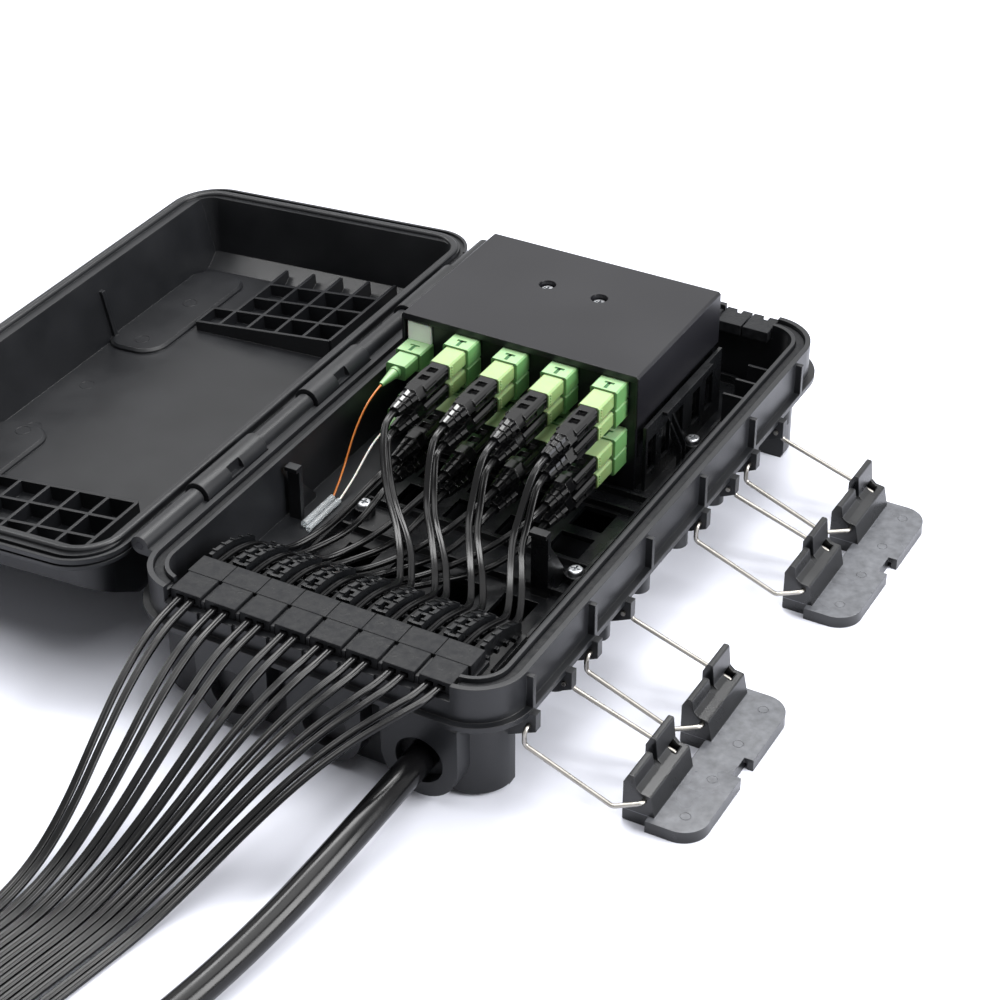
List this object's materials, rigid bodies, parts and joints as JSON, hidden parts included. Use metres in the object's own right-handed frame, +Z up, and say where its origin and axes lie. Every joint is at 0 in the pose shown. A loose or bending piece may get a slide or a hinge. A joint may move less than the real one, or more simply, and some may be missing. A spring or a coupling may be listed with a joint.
{
  "type": "fibre distribution box",
  "caption": "Open hinged plastic wall box that joins a fibre feeder cable to flat drop cables through rows of adapters, closed by wire-bail latches.",
  "frame": {"origin": "centre of the base's underside, on the surface it rests on", "axes": "+Z up out of the open base, -Y towards the cable end, -X towards the hinge, +X towards the latches"},
  "size_m": [0.4277, 0.5653, 0.082],
  "materials": {
    "black_plastic": "moulded, satin",
    "gloss_black": "smooth, semi-gloss",
    "painted_cover": "powder coated black, smooth",
    "green_adapter": "moulded, satin",
    "lime_grip": "moulded, satin",
    "white_plastic": "moulded, satin",
    "seal_rubber": "matt",
    "cable_jacket": "smooth, satin",
    "steel_wire": "drawn wire",
    "zinc_screw": "plated, bright",
    "orange_coat": "smooth",
    "white_coat": "smooth",
    "clear_sleeve": "clear"
  },
  "bodies": {
    "base": {"base_shell": "black_plastic", "rim_gasket": "seal_rubber", "drop_port_seals": "seal_rubber", "rear_port_seals": "seal_rubber", "inner_tray": "black_plastic", "cable_comb": "black_plastic", "tray_screws": "zinc_screw", "cassette_cover": "painted_cover", "cover_screws": "zinc_screw", "cassette_bracket": "black_plastic", "splitter_module": "black_plastic", "adapter_panel": "painted_cover", "adapters_column_1": "green_adapter", "adapters_column_2": "green_adapter", "adapters_column_3": "green_adapter", "adapters_column_4": "green_adapter", "adapters_column_5": "green_adapter", "blank_plate": "white_plastic", "pigtail_plugs": "green_adapter", "pigtail_boots": "green_adapter", "plug_grips": "lime_grip", "connector_bodies": "gloss_black", "connector_boots": "gloss_black", "splice_sleeves": "clear_sleeve", "main_port_gland": "seal_rubber", "spare_port_plugs": "black_plastic", "main_cable_clamp": "black_plastic", "hinge_pin": "steel_wire", "main_cable": "cable_jacket", "orange_fibre": "orange_coat", "white_fibre": "white_coat", "drop_cable_01": "cable_jacket", "drop_cable_02": "cable_jacket", "drop_cable_03": "cable_jacket", "drop_cable_04": "cable_jacket", "drop_cable_05": "cable_jacket", "drop_cable_06": "cable_jacket", "drop_cable_07": "cable_jacket", "drop_cable_08": "cable_jacket", "drop_cable_09": "cable_jacket", "drop_cable_10": "cable_jacket", "drop_cable_11": "cable_jacket", "drop_cable_12": "cable_jacket", "drop_cable_13": "cable_jacket", "drop_cable_14": "cable_jacket", "drop_cable_15": "cable_jacket", "drop_cable_16": "cable_jacket"},
    "lid": {"lid_shell": "black_plastic"},
    "latch_1_wire": {"latch_1_bails": "steel_wire"},
    "latch_2_wire": {"latch_2_bails": "steel_wire"},
    "latch_1": {"latch_1_plate": "black_plastic"},
    "latch_2": {"latch_2_plate": "black_plastic"}
  },
  "joints": [
    {"name": "lid_hinge", "type": "hinge", "parent": "base", "child": "lid", "pos_m": [-0.0915, 0, 0.058], "axis": [0, 1, 0], "range_deg": [0, 184]},
    {"name": "latch_1_swing", "type": "hinge", "parent": "base", "child": "latch_1_wire", "pos_m": [0.0875, -0.1215, 0.035], "axis": [0, -1, 0], "range_deg": [0, 105]},
    {"name": "latch_1_tilt", "type": "hinge", "parent": "latch_1_wire", "child": "latch_1", "pos_m": [0.1345, -0.1215, 0.0124], "axis": [0, -1, 0], "range_deg": [0, 20]},
    {"name": "latch_2_swing", "type": "hinge", "parent": "base", "child": "latch_2_wire", "pos_m": [0.0875, 0.033, 0.035], "axis": [0, -1, 0], "range_deg": [0, 105]},
    {"name": "latch_2_tilt", "type": "hinge", "parent": "latch_2_wire", "child": "latch_2", "pos_m": [0.1345, 0.033, 0.0124], "axis": [0, -1, 0], "range_deg": [0, 20]}
  ]
}
